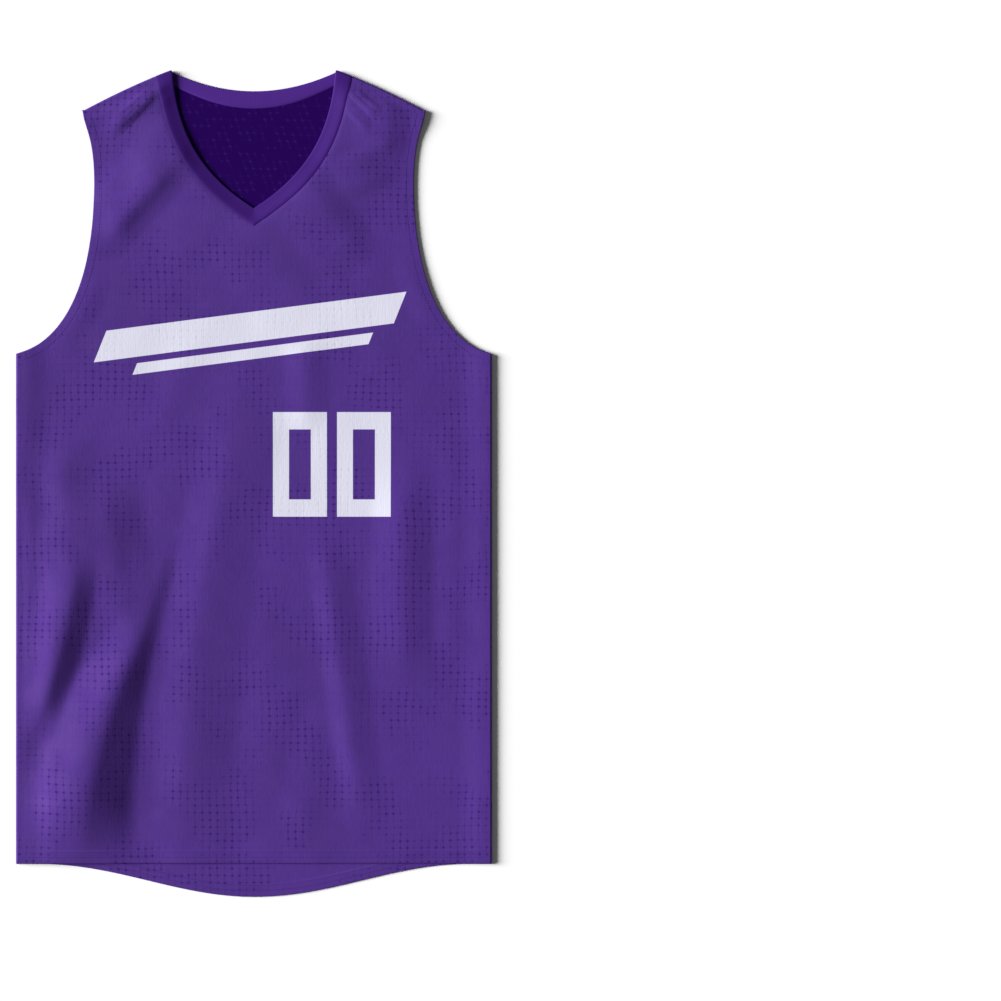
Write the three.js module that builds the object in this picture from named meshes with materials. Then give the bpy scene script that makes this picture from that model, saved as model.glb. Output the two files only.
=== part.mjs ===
// A sleeveless V-neck basketball jersey, laid flat on its back with the front up.
// Millimetres. +X is to the viewer's right, +Y runs toward the neck, +Z is up from the surface.
// The origin is on the surface, under the middle of the garment.
// Every piece is a cloth wall: a middle surface worked out from the cut, given its thickness.
import * as THREE from 'three';

// Driving sizes of the cut
const CHEST_HALF = 238;         // half of the flat width, straight from hem to underarm
const UNDERARM_Y = 129.5;
const FRONT_HEM_Y = -379.5;
const TAIL_BASE_Y = -380.6;     // the back hem at the side seams
const TAIL_DROP = 32.9;         // how far the back hem falls below that at the centre
const TAIL_HALF_WIDTH = 214;
const TAIL_SHARE = 0.25;        // part of the back's height over which its rows take the tail's curve
const NECK_POINT = [82.5, 413.6];     // where the neck meets the shoulder seam
const SHOULDER_TIP = [172, 373.5];
const SHOULDER_BULGE = 1.5;
const ARMHOLE_WAIST = [159.8, 299];   // the narrowest place between the armholes
const V_POINT_Y = 275.6;
const BAND_WIDTH = 15;
const BAND_MITRE = 18.3;        // the band's height at centre front
const BAND_SHARE = 0.183;       // the part of the shoulder seam that the band takes
const BAND_TURN = 0.15;         // part of the band's length that turns in from the shoulder seam
const MITRE_TURN = 0.3;         // and the part that turns into the mitre at centre front
const BACK_NECK_Y = 392.6;      // the free edge of the back band at the centre
const BACK_NECK_RISE = 21;
const BACK_SEAM_Y = 375.2;
const BACK_TILT = [200, 24];    // from which height, and by how much, its rows sink to the armhole

// Walls, seams and rolled edges
const CLOTH = 1.2;
const RIB = 1.6;
const SEAM_GAP = 0.3;
const BAND_CLEAR = 0.5;         // in plan, between a front band and its panel: both slope there
const EDGE_HEIGHT = 4.8;        // the height of the rolled fold along sides and shoulders
const EDGE_ZONE = 2.8;          // arc length of the finely divided strip at such an edge
const EDGE_RELAX = 34;          // how far inside it the front comes down on the back
const SIDE_FREE = 36;           // how far inside a side's roll the folds reach their height
const SHOULDER_FREE = 26;       // and inside a shoulder's
const EDGE_OPENING = 14;        // how far above the underarm the two layers part
const BACK_LIE = CLOTH / 2;
const FRONT_LIE = CLOTH + SEAM_GAP + CLOTH / 2;
const BAND_LIE = CLOTH + SEAM_GAP + RIB / 2;
const NECK_RISE = 2.4;          // how high the neck seam stands off the back
const NECK_CREST = 19;          // distance of that crest from the band's free edge
const NECK_REACH = 100;

// The largest folds of the front. Each is a ridge whose crest runs from (x0, y0) toward (x1, y1) and
// on to (x2, y2), as a curve with those three control points. height is its top above the lying
// cloth, left and right are its two half widths, and first and last are the shares of the height
// that are left at its two ends. taper is the share of height and widths that it starts with, from
// which they grow evenly along the crest.
const FOLD_COLUMNS = [
  'x0', 'y0', 'x1', 'y1', 'x2', 'y2', 'height', 'left', 'right', 'first', 'last', 'taper',
];
const FOLDS = [
  [-178, -60, -182, -160, -238, -276, 5.8, 42, 27, 0.0, 0.0, 1.0],   // side, outer
  [-100, -118, -166, -250, -187, -384, 16.5, 100, 76, 0.0, 0.15, 0.2], // side, deep
  [-158, 14, -142, -76, -124, -176, 3.0, 60, 44, 0.0, 0.2, 1.0],    // above the deep one
  [-8, 98, -68, -131, -72, -382, 2.3, 36, 56, 0.3, 0.4, 1.0],       // from the chest to the hem
  [66, -31, 90, -219, 110, -356, 1.8, 20, 30, 0.2, 0.1, 1.0],       // right of the middle
  [154, 54, 143, -86, 152, -226, 2.4, 36, 36, 0.0, 0.0, 1.0],       // right side
  [50, 154, 51, 98, 52, 44, 1.3, 24, 28, 0.0, 0.0, 1.0],            // right chest
  [-192, 54, -190, -30, -188, -116, 1.7, 34, 36, 0.0, 0.0, 1.0],    // left edge
  [-76, 326, -114, 280, -156, 238, 2.6, 52, 26, 0.5, 0.2, 1.0],     // left shoulder
  [49, 304, 77, 262, 114, 218, 1.9, 56, 28, 0.5, 0.0, 1.0],         // right of the V
];
const FOLD_FADE = 0.3;          // share of a crest's length over which each end fades
const FOLD_ROUNDING = 0.25;     // share of a flank's width that is rounded at its crest and at its foot
const CREST_STEPS = 14;

// Colours
const PURPLE = 0x4c2f7f;
const BAND_PURPLE = 0x4a2b7a;
const CLOTH_ROUGHNESS = 0.7;
const RIB_ROUGHNESS = 0.75;

const lerp = (a, b, t) => a + (b - a) * t;
const mix = (p, q, t) => [lerp(p[0], q[0], t), lerp(p[1], q[1], t)];
const clamp01 = (t) => Math.min(1, Math.max(0, t));
const smooth = (t) => { const c = clamp01(t); return c * c * (3 - 2 * c); };
const spread = (from, to, count) =>
  Array.from({ length: count + 1 }, (_, i) => lerp(from, to, i / count));

// A cubic curve in the plane as a function of its share t
function cubic(a, b, c, d) {
  const curve = new THREE.CubicBezierCurve(...[a, b, c, d].map((p) => new THREE.Vector2(...p)));
  return (t) => { const p = curve.getPoint(t); return [p.x, p.y]; };
}

// The shoulder seam, on the right half: k runs from the neck point to the shoulder tip
const SHOULDER_LENGTH = Math.hypot(SHOULDER_TIP[0] - NECK_POINT[0], SHOULDER_TIP[1] - NECK_POINT[1]);
const SHOULDER_OUT = [
  (NECK_POINT[1] - SHOULDER_TIP[1]) / SHOULDER_LENGTH,
  (SHOULDER_TIP[0] - NECK_POINT[0]) / SHOULDER_LENGTH,
];
function shoulderPoint(k, inset = 0) {
  const [x, y] = mix(NECK_POINT, SHOULDER_TIP, k);
  const out = SHOULDER_BULGE * 4 * k * (1 - k) - inset;
  return [x + SHOULDER_OUT[0] * out, y + SHOULDER_OUT[1] * out];
}

// The section of a rolled edge. s is the distance along the wall from its end, angle is how far the
// wall has turned down there, and wall its thickness: gives the inset and the drop below the crown.
function rolledEdge(s, angle, wall) {
  const radius = (EDGE_HEIGHT - SEAM_GAP - wall) / 2;
  const arc = radius * angle;
  const reach = (wall / 2 + radius) * Math.sin(angle);
  if (s >= arc) return { inset: reach + s - arc, drop: 0 };
  const turned = angle - s / radius;
  return { inset: reach - radius * Math.sin(turned), drop: radius * (1 - Math.cos(turned)) };
}
const FULL = Math.PI / 2;
const SHOULDER_INSET = rolledEdge(EDGE_ZONE, FULL, CLOTH).inset;

// How far the side seam's roll has turned at height y: fully below the underarm, not at all above
const sideAngle = (y) => FULL * (1 - smooth((y - UNDERARM_Y) / EDGE_OPENING));
// Height of the front's crown over the back where the roll has turned by an angle
const crownHeight = (angle) => FRONT_LIE + (EDGE_HEIGHT - CLOTH / 2 - FRONT_LIE) * (1 - Math.cos(angle));

// The armhole, from the shoulder tip through its narrowest place to the underarm
const armholeUpper = cubic(shoulderPoint(1, SHOULDER_INSET), [168.8, 354], [159.8, 346], ARMHOLE_WAIST);
const armholeLower = cubic(ARMHOLE_WAIST, [159.8, 243], [171.5, 147], [CHEST_HALF, UNDERARM_Y]);
const HALVINGS = 40;            // steps of the search for a height on a curve
function curveAtHeight(curve, y) {
  let low = 0;
  let high = 1;
  for (let i = 0; i < HALVINGS; i += 1) {
    const middle = (low + high) / 2;
    if (curve(middle)[1] > y) low = middle; else high = middle;
  }
  return curve((low + high) / 2);
}
function outerEdge(y) {
  if (y <= UNDERARM_Y) return [CHEST_HALF, y];
  return y > ARMHOLE_WAIST[1] ? curveAtHeight(armholeUpper, y) : curveAtHeight(armholeLower, y);
}
const ARMHOLE_TOP_Y = armholeUpper(0)[1];

// The V: the band's free edge, and its seam with the panel one band width outside it
const vEdge = cubic(shoulderPoint(0, SHOULDER_INSET), [76.1, 348.4], [51.6, 308.3], [0, V_POINT_Y]);
const alongShoulder = shoulderPoint(BAND_SHARE, SHOULDER_INSET).map((c, i) => c - vEdge(0)[i]);
function vSeam(t, width = 1) {
  const step = 1e-3;
  const here = vEdge(t);
  const before = vEdge(Math.max(0, t - step));
  const after = vEdge(Math.min(1, t + step));
  const slope = [after[0] - before[0], after[1] - before[1]];
  const scale = BAND_WIDTH / Math.hypot(...slope);
  let across = [-slope[1] * scale, slope[0] * scale];
  across = mix(alongShoulder, across, smooth(t / BAND_TURN));
  across = mix(across, [0, -BAND_MITRE], smooth((t - 1) / MITRE_TURN + 1));
  return [here[0] + across[0] * width, here[1] + across[1] * width];
}

// The back neck: the band's seam with the panel, and its free edge
const backSeam = cubic(
  [0, BACK_SEAM_Y], [45, BACK_SEAM_Y], [72, 396], shoulderPoint(BAND_SHARE, SHOULDER_INSET));
function backEdge(t) {
  const x = lerp(0, shoulderPoint(0, SHOULDER_INSET)[0], t);
  const end = shoulderPoint(0, SHOULDER_INSET)[1] - BACK_NECK_Y;
  return [x, BACK_NECK_Y + Math.min(end, BACK_NECK_RISE) * t * t];
}
// The back panel's step away from that seam, at the centre and at the shoulder
const BACK_CLEAR = [[0, -0.36], [0.27, -0.3]];

// The curved hem of the back, as its fall below the side seams' ends
const tailFall = (x) => (Math.abs(x) < TAIL_HALF_WIDTH
  ? -TAIL_DROP * (1 + Math.cos(Math.PI * x / TAIL_HALF_WIDTH)) / 2 : 0);

// A fall from 1 to 0 as u goes from 0 to 1: a straight slope, rounded off at both ends
function roundedSlope(u) {
  const r = FOLD_ROUNDING;
  const start = Math.min(u, r) ** 2 / (2 * r) + Math.max(u - r, 0);
  const end = Math.max(u - 1 + r, 0) ** 2 / (2 * r);
  return 1 - (start - end) / (1 - r);
}

// One ridge: its crest as short steps, and its height at a point, from the nearest step. The half
// width turns evenly from one side's to the other's round the ends.
function ridge(row) {
  const fold = Object.fromEntries(FOLD_COLUMNS.map((name, i) => [name, row[i]]));
  const controls = [0, 1, 2].map((i) => new THREE.Vector2(fold[`x${i}`], fold[`y${i}`]));
  const points = new THREE.QuadraticBezierCurve(...controls).getPoints(CREST_STEPS);
  return (x, y) => {
    let best = Infinity;
    let side = 0;
    let along = 0;
    for (let i = 0; i < CREST_STEPS; i += 1) {
      const a = points[i];
      const dx = points[i + 1].x - a.x;
      const dy = points[i + 1].y - a.y;
      const t = clamp01(((x - a.x) * dx + (y - a.y) * dy) / (dx * dx + dy * dy));
      const away = Math.hypot(x - a.x - dx * t, y - a.y - dy * t);
      if (away < best) {
        best = away;
        side = ((y - a.y) * dx - (x - a.x) * dy) / (Math.hypot(dx, dy) * Math.max(away, 1e-6));
        along = (i + t) / CREST_STEPS;
      }
    }
    const grown = lerp(fold.taper, 1, along);
    const reach = best / (lerp(fold.left, fold.right, (1 + side) / 2) * grown);
    if (reach >= 1) return 0;
    const first = lerp(fold.first, 1, smooth(along / FOLD_FADE));
    const last = lerp(1, fold.last, smooth((along - 1) / FOLD_FADE + 1));
    return fold.height * grown * roundedSlope(reach) * first * last;
  };
}
const ridges = FOLDS.map(ridge);

// Rise of the front round the neckline, from the distance to the band's free edge
const NECK_STEPS = 40;
const vSteps = spread(0, 1, NECK_STEPS).map(vEdge);
function neckRise(x, y) {
  const away = Math.min(...vSteps.map((p) => Math.hypot(Math.abs(x) - p[0], y - p[1])));
  const shape = away < NECK_CREST
    ? smooth(away / NECK_CREST) : 1 - smooth((away - NECK_CREST) / (NECK_REACH - NECK_CREST));
  return NECK_RISE * shape;
}
const belowShoulder = (x, y) =>
  (NECK_POINT[0] - Math.abs(x)) * SHOULDER_OUT[0] + (NECK_POINT[1] - y) * SHOULDER_OUT[1];

// Height of the front's middle surface over the back, without the rolled edges' drop
function frontHeight(x, y, lie) {
  const sideGap = CHEST_HALF - Math.abs(x);
  const shoulderGap = belowShoulder(x, y);
  const bySide = (1 - smooth(sideGap / EDGE_RELAX)) * (crownHeight(sideAngle(y)) - FRONT_LIE);
  const byShoulder = (1 - smooth((shoulderGap - SHOULDER_INSET) / EDGE_RELAX))
    * (crownHeight(FULL) - FRONT_LIE);
  const free = smooth((sideGap - EDGE_ZONE) / SIDE_FREE)
    * smooth((shoulderGap - EDGE_ZONE) / SHOULDER_FREE);
  const folds = ridges.reduce((sum, height) => sum + height(x, y), 0);
  return lie + Math.max(bySide, byShoulder) + free * (folds + neckRise(x, y));
}

// A wall from one or more grids of points. Each grid is a function of (u, v) that gives a point of
// the middle surface; its normal comes from the same function's slopes. A mitre keeps the wall that
// far from the centre plane, with its end upright.
class Wall {
  constructor(thickness, mitre = 0) {
    this.half = thickness / 2;
    this.mitre = mitre;
    this.points = [];
    this.normals = [];
    this.faces = [];
    this.known = new Map();
  }

  corner(surface, u, v, flip) {
    const p = surface(u, v);
    const key = p.map((c) => Math.round(c * 1e4)).join(' ');
    if (this.known.has(key)) return this.known.get(key);
    const step = 1e-4;
    const slope = (du, dv) => new THREE.Vector3(...surface(u + du, v + dv))
      .sub(new THREE.Vector3(...surface(u - du, v - dv)));
    const normal = slope(step, 0).cross(slope(0, step)).multiplyScalar(flip ? -1 : 1);
    const point = new THREE.Vector3(...p);
    if (Math.abs(point.x) < this.mitre) {
      point.x = flip ? -this.mitre : this.mitre;
      normal.x = 0;
    }
    this.points.push(point);
    this.normals.push(normal.normalize());
    this.known.set(key, this.points.length - 1);
    return this.points.length - 1;
  }

  grid(surface, us, vs, flip) {
    for (let j = 0; j + 1 < vs.length; j += 1) {
      for (let i = 0; i + 1 < us.length; i += 1) {
        const a = this.corner(surface, us[i], vs[j], flip);
        const b = this.corner(surface, us[i + 1], vs[j], flip);
        const c = this.corner(surface, us[i + 1], vs[j + 1], flip);
        const d = this.corner(surface, us[i], vs[j + 1], flip);
        for (const [p, q, r] of [[a, b, c], [a, c, d]]) {
          if (p !== q && q !== r && r !== p) this.faces.push(flip ? [p, r, q] : [p, q, r]);
        }
      }
    }
    return this;
  }

  // Both skins, and a strip along every edge that only one face uses
  geometry() {
    const count = this.points.length;
    const skin = (sign) => this.points.flatMap((p, i) =>
      p.clone().addScaledVector(this.normals[i], sign * this.half).toArray());
    const index = [];
    const edges = new Set(this.faces.flatMap(([a, b, c]) => [`${a} ${b}`, `${b} ${c}`, `${c} ${a}`]));
    for (const [a, b, c] of this.faces) {
      index.push(a, b, c, a + count, c + count, b + count);
    }
    for (const edge of edges) {
      const [a, b] = edge.split(' ').map(Number);
      if (!edges.has(`${b} ${a}`)) index.push(a, a + count, b + count, a, b + count, b);
    }
    const geometry = new THREE.BufferGeometry();
    geometry.setAttribute('position', new THREE.Float32BufferAttribute([...skin(1), ...skin(-1)], 3));
    geometry.setIndex(index);
    return geometry;
  }
}

// Places a point of the right-hand cut on its half of the garment
const onHalf = (half, [x, y], z) => [half * x, y, z];

// A panel's surface. v runs 0 to 1 up to the neck, 1 to 2 along the neck seam to the shoulder and
// 2 to 3 over the shoulder's roll; u runs 0 to 1 across and 1 to 2 over the side's roll.
function panelSurface(half, { innerY, outerY, seam, seamShare, fall, height }) {
  return (u, v) => {
    const share = Math.min(v, 2);
    const [inner, edgeY] = share <= 1 ? [[0, innerY(share)], outerY(share)]
      : [seam(share - 1), lerp(outerY(1), ARMHOLE_TOP_Y, share - 1)];
    const edge = outerEdge(edgeY);
    const angle = sideAngle(edge[1]);
    const side = rolledEdge(EDGE_ZONE * (2 - Math.max(u, 1)), angle, CLOTH);
    const zone = rolledEdge(EDGE_ZONE, angle, CLOTH).inset;
    let flat = u <= 1 ? mix(inner, [edge[0] - zone, edge[1]], u) : [edge[0] - side.inset, edge[1]];
    const across = clamp01((flat[0] - inner[0]) / (edge[0] - inner[0]));
    const k = lerp(seamShare, 1, across);
    const bulge = SHOULDER_BULGE * (4 * k * (1 - k) - 4 * seamShare * (1 - seamShare) * (1 - across));
    const lift = bulge * smooth(share - 1);
    flat = [flat[0] + SHOULDER_OUT[0] * lift, flat[1] + SHOULDER_OUT[1] * lift];
    flat[1] += fall(flat[0], share);
    const roll = rolledEdge(EDGE_ZONE * (3 - Math.max(v, 2)), FULL, CLOTH);
    const over = v > 2 ? SHOULDER_INSET - roll.inset : 0;
    const z = height(flat[0] * half, flat[1], side.drop + (v > 2 ? roll.drop : 0));
    return onHalf(half, [flat[0] + SHOULDER_OUT[0] * over, flat[1] + SHOULDER_OUT[1] * over], z);
  };
}

// Rows and columns. The left half of the front has more, for its deeper folds.
const ROLL_STEPS = 4;
const FRONT_COLUMNS = [[1, 13], [-1, 21]];
const BACK_COLUMNS = 9;
const FRONT_BAND_COLUMNS = 3;
const BACK_BAND_COLUMNS = 2;
const FRONT_ROWS = 18;          // from the hem to the underarm
const BACK_ROWS = 10;
const ARMHOLE_ROWS = 7;
const TOP_ROW_CLEAR = 0.97;     // a row nearer than this to the V's point is left out
const BACK_TOP_ROWS = [315, 3]; // from this height to the back seam, this many rows
const EDGE_COLUMNS = spread(1, 2, ROLL_STEPS).slice(1);
const SHOULDER_ROWS = spread(2, 3, ROLL_STEPS).slice(1);
const BAND_END_ROWS = spread(1, 2, ROLL_STEPS).slice(1);
const FRONT_NECK_ROWS = 12;     // shared by band and panel, so that their seam edges run alike
const BACK_NECK_ROWS = 9;
const shareOfHeight = (from, to) => (y) => (y - from) / (to - from);

const armholeLevels = (level) =>
  spread(0, 1, ARMHOLE_ROWS).slice(1).map((t) => level(armholeLower(1 - t)[1]));

function frontPanel() {
  const top = vSeam(1, 1 + BAND_CLEAR / BAND_WIDTH)[1];
  const level = shareOfHeight(FRONT_HEM_Y, top);
  const vs = [
    ...spread(0, level(UNDERARM_Y), FRONT_ROWS),
    ...armholeLevels(level).filter((v) => v < TOP_ROW_CLEAR), 1,
    ...spread(1, 2, FRONT_NECK_ROWS).slice(1), ...SHOULDER_ROWS,
  ];
  const wall = new Wall(CLOTH);
  for (const [half, columns] of FRONT_COLUMNS) {
    const surface = panelSurface(half, {
      innerY: (t) => lerp(FRONT_HEM_Y, top, t),
      outerY: (t) => lerp(FRONT_HEM_Y, top, t),
      seam: (t) => vSeam(1 - t, 1 + BAND_CLEAR / BAND_WIDTH),
      seamShare: BAND_SHARE,
      fall: () => 0,
      height: (x, y, drop) => frontHeight(x, y, FRONT_LIE) - drop,
    });
    wall.grid(surface, [...spread(0, 1, columns), ...EDGE_COLUMNS], vs, half < 0);
  }
  return wall.geometry();
}

function backPanel() {
  const top = BACK_SEAM_Y + BACK_CLEAR[0][1];
  const [tiltFrom, tilt] = BACK_TILT;
  const innerY = (t) => lerp(TAIL_BASE_Y, top, t);
  const outerY = (t) => innerY(t) - tilt * smooth((innerY(t) - tiltFrom) / (top - tiltFrom));
  const level = shareOfHeight(TAIL_BASE_Y, top);
  const [upperY, upperRows] = BACK_TOP_ROWS;
  const vs = [
    ...spread(0, level(UNDERARM_Y), BACK_ROWS), ...armholeLevels(level),
    ...spread(level(upperY), 1, upperRows), ...spread(1, 2, BACK_NECK_ROWS).slice(1),
    ...SHOULDER_ROWS,
  ];
  const wall = new Wall(CLOTH);
  for (const half of [1, -1]) {
    const surface = panelSurface(half, {
      innerY,
      outerY,
      seam: (t) => backSeam(t).map((c, i) => c + lerp(BACK_CLEAR[0][i], BACK_CLEAR[1][i], t)),
      seamShare: BAND_SHARE,
      fall: (x, v) => tailFall(x) * (1 - smooth(v / TAIL_SHARE)),
      height: (x, y, drop) => BACK_LIE + drop,
    });
    wall.grid(surface, [...spread(0, 1, BACK_COLUMNS), ...EDGE_COLUMNS], vs, half < 0);
  }
  return wall.geometry();
}

// A band's surface between two curves: v runs 0 to 1 along it to the shoulder, 1 to 2 over the roll
function bandSurface(half, { free, seam, height }) {
  return (u, v) => {
    const t = Math.min(v, 1);
    const flat = mix(free(t), seam(t), u);
    const roll = rolledEdge(EDGE_ZONE * (2 - Math.max(v, 1)), FULL, RIB);
    const over = v > 1 ? SHOULDER_INSET - roll.inset : 0;
    const z = height(flat[0] * half, flat[1], v > 1 ? roll.drop : 0, u);
    return onHalf(half, [flat[0] + SHOULDER_OUT[0] * over, flat[1] + SHOULDER_OUT[1] * over], z);
  };
}

function frontBand(half) {
  const surface = bandSurface(half, {
    free: (t) => vEdge(1 - t),
    seam: (t) => vSeam(1 - t),
    height: (x, y, drop) => frontHeight(x, y, BAND_LIE) - drop,
  });
  const vs = [...spread(0, 1, FRONT_NECK_ROWS), ...BAND_END_ROWS];
  const wall = new Wall(RIB, SEAM_GAP / 2);
  return wall.grid(surface, spread(0, 1, FRONT_BAND_COLUMNS), vs, half < 0).geometry();
}

function backBand() {
  const wall = new Wall(RIB);
  const vs = [...spread(0, 1, BACK_NECK_ROWS), ...BAND_END_ROWS];
  for (const half of [1, -1]) {
    const surface = bandSurface(half, {
      free: (t) => backEdge(t),
      seam: (t) => backSeam(t),
      height: (x, y, drop) => RIB / 2 + drop,
    });
    wall.grid(surface, spread(0, 1, BACK_BAND_COLUMNS), vs, half > 0);
  }
  return wall.geometry();
}

function piece(name, geometry, color, roughness) {
  const material = new THREE.MeshStandardMaterial({ color, roughness, metalness: 0 });
  const mesh = new THREE.Mesh(geometry, material);
  mesh.name = name;
  return mesh;
}

const jersey = new THREE.Group();
jersey.add(
  piece('front_panel', frontPanel(), PURPLE, CLOTH_ROUGHNESS),
  piece('back_panel', backPanel(), PURPLE, CLOTH_ROUGHNESS),
  piece('neckband_front_left', frontBand(-1), BAND_PURPLE, RIB_ROUGHNESS),
  piece('neckband_front_right', frontBand(1), BAND_PURPLE, RIB_ROUGHNESS),
  piece('neckband_back', backBand(), BAND_PURPLE, RIB_ROUGHNESS),
);

export default jersey;
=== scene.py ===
"""A sleeveless V-neck basketball jersey of purple mesh cloth, laid flat on its back, front up.

Sizes are in millimetres unless a name says otherwise, and become metres where a mesh is made. The jersey lies
with +X to the viewer's right, +Y toward the neck and +Z up. Every cloth piece is a closed shell round a middle
surface, worked out on a grid of two parameters and rounded off to nothing at its cut edges.
"""

import bpy
import numpy as np
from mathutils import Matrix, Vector
from mathutils.bvhtree import BVHTree


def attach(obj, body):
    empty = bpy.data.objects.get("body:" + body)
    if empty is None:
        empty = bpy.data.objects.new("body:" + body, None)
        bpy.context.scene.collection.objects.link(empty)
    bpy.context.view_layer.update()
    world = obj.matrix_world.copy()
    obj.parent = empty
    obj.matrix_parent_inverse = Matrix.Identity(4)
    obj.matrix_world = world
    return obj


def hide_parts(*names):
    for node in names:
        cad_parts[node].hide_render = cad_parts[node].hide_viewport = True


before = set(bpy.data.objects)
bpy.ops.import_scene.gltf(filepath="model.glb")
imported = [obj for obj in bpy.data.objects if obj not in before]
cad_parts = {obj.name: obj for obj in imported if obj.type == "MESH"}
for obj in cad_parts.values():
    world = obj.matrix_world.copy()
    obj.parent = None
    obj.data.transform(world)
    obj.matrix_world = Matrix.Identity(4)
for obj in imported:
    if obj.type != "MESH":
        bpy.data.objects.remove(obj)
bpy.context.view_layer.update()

MM = 0.001
BODY = "root"

# The cut, as on the solids
CHEST_HALF = 238.0
UNDERARM_Y = 129.5
FRONT_HEM_Y = -379.5
TAIL_BASE_Y = -380.6
TAIL_DROP = 32.9
TAIL_HALF_WIDTH = 214.0
NECK_POINT = np.array([82.5, 413.6])
SHOULDER_TIP = np.array([172.0, 373.5])
SHOULDER_BULGE = 1.5
ARMHOLE_WAIST = (159.8, 299.0)
V_POINT_Y = 275.6
BAND_WIDTH = 15.0
BAND_MITRE = 18.3
BAND_SHARE = 0.183
BACK_NECK_Y = 392.6
BACK_NECK_RISE = 21.0
BACK_SEAM_Y = 375.2

# Walls, seams and rolled edges
CLOTH = 1.2
RIB = 1.6
SEAM_GAP = 0.3
SEAM_GROOVE = 0.06
BAND_SLOPE = 1.6
SIDE_FREE = 36
SHOULDER_FREE = 26
SMALL_FREE = 12
EDGE_HEIGHT = 4.8
EDGE_ZONE = 2.8
EDGE_RELAX = 34.0
EDGE_OPENING = 14.0
BACK_LIE = CLOTH / 2
FRONT_LIE = CLOTH + SEAM_GAP + CLOTH / 2
BAND_LIE = CLOTH + SEAM_GAP + RIB / 2
NECK_RISE = 2.4
NECK_CREST = 19.0
NECK_REACH = 100.0

# Turned hems and their twin rows of stitches, as distances from the edge
HEM_DEPTH = 12.5
HEM_SWELL = 0.18
RIB_CROWN = 0.12
HEM_ROWS = (11.4, 6.0)
ARMHOLE_ROWS = (7.6,)
STITCH = {"pitch": 3.0, "length": 2.2, "width": 0.4, "height": 0.3}

# Grids
ACROSS_STEP = 3.3
ALONG_STEP = 3.6
EDGE_STEPS = np.array([0.0, 0.08, 0.3, 0.6])
MITRE_STEPS = np.array([0.0004, 0.0012, 0.003])
ROLL_STEPS = np.array([0.4, 0.8, 1.2, 1.6, 1.95, 2.2, 2.5, 2.72, 2.8])

# Folds of the front: where the crest starts, bends and ends, its height, its half widths to the left and right
# of it, the shares of the height left at its two ends, and the share of height and widths that it starts with.
FOLD_COLUMNS = ("x0", "y0", "x1", "y1", "x2", "y2", "height", "left", "right", "first", "last", "taper")
LARGE_FOLDS = (
    (-178, -60, -182, -160, -238, -276, 5.8, 42, 27, 0.0, 0.0, 1.0),
    (-100, -118, -166, -250, -187, -384, 16.5, 100, 76, 0.0, 0.15, 0.2),
    (-158, 14, -142, -76, -124, -176, 3.0, 60, 44, 0.0, 0.2, 1.0),
    (-8, 98, -68, -131, -72, -382, 2.3, 36, 56, 0.3, 0.4, 1.0),
    (66, -31, 90, -219, 110, -356, 1.8, 20, 30, 0.2, 0.1, 1.0),
    (154, 54, 143, -86, 152, -226, 2.4, 36, 36, 0.0, 0.0, 1.0),
    (50, 154, 51, 98, 52, 44, 1.3, 24, 28, 0.0, 0.0, 1.0),
    (-192, 54, -190, -30, -188, -116, 1.7, 34, 36, 0.0, 0.0, 1.0),
    (-76, 326, -114, 280, -156, 238, 2.6, 52, 26, 0.5, 0.2, 1.0),
    (49, 304, 77, 262, 114, 218, 1.9, 56, 28, 0.5, 0.0, 1.0),
)
SMALL_FOLDS = (
    (-86, -50, -104, -130, -128, -206, 1.5, 40, 16, 0.0, 0.3, 1.0),
    (-98, 392, -114, 380, -150, 344, 2.5, 30, 9, 0.3, 0.0, 1.0),
    (-84, 322, -112, 288, -152, 246, 1.8, 44, 18, 0.3, 0.2, 1.0),
    (-138, 386, -150, 374, -166, 364, 0.5, 14, 10, 0.1, 0.1, 1.0),
    (130, 392, 139, 363, 126, 319, 2.0, 40, 26, 0.1, 0.0, 1.0),
    (98, 392, 110, 384, 128, 368, 1.1, 7, 6, 0.2, 0.1, 1.0),
    (96, 376, 104, 366, 118, 354, 0.8, 8, 6, 0.3, 0.1, 1.0),
    (100, 338, 108, 314, 118, 288, 1.3, 38, 44, 0.0, 0.0, 1.0),
    (-200, -6, -198, -90, -212, -200, 2.4, 38, 90, 0.3, 0.4, 1.0),
    (-128, 330, -146, 300, -158, 266, 0.6, 18, 20, 0.0, 0.0, 1.0),
    (146, 236, 160, 190, 190, 140, 0.6, 18, 22, 0.0, 0.1, 1.0),
    (-150, 214, -170, 168, -204, 128, 0.6, 22, 18, 0.0, 0.1, 1.0),
    (-66, 150, -74, 96, -100, 40, 0.5, 26, 30, 0.0, 0.0, 1.0),
    (22, -60, 10, -190, 16, -330, 0.6, 38, 40, 0.0, 0.1, 1.0),
    (196, 60, 200, -80, 206, -230, 0.5, 26, 24, 0.0, 0.0, 1.0),
    (60, -230, 48, -300, 52, -374, 0.5, 26, 26, 0.0, 0.4, 1.0),
)

# Creases too sharp for the grid, in the cloth's relief: both ends, width to each side and height
CREASES = (
    (90, 396, 126, 364, 5.0, 5.0),
    (102, 392, 132, 372, 4.0, 3.0),
    (90, 376, 112, 356, 4.5, 2.6),
    (-94, 394, -134, 354, 6.0, 3.6),
    (-106, 394, -142, 366, 4.0, 2.6),
)
FOLD_FADE = 0.3
FOLD_ROUNDING = 0.25
CREST_STEPS = 14
BACK_SHARE = 0.16
BACK_MOST = 1.0
# Height above which the inside of the back takes the cloth with painted shade of the neck
PAINTED_SHADE_ABOVE = 225.0

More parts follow.
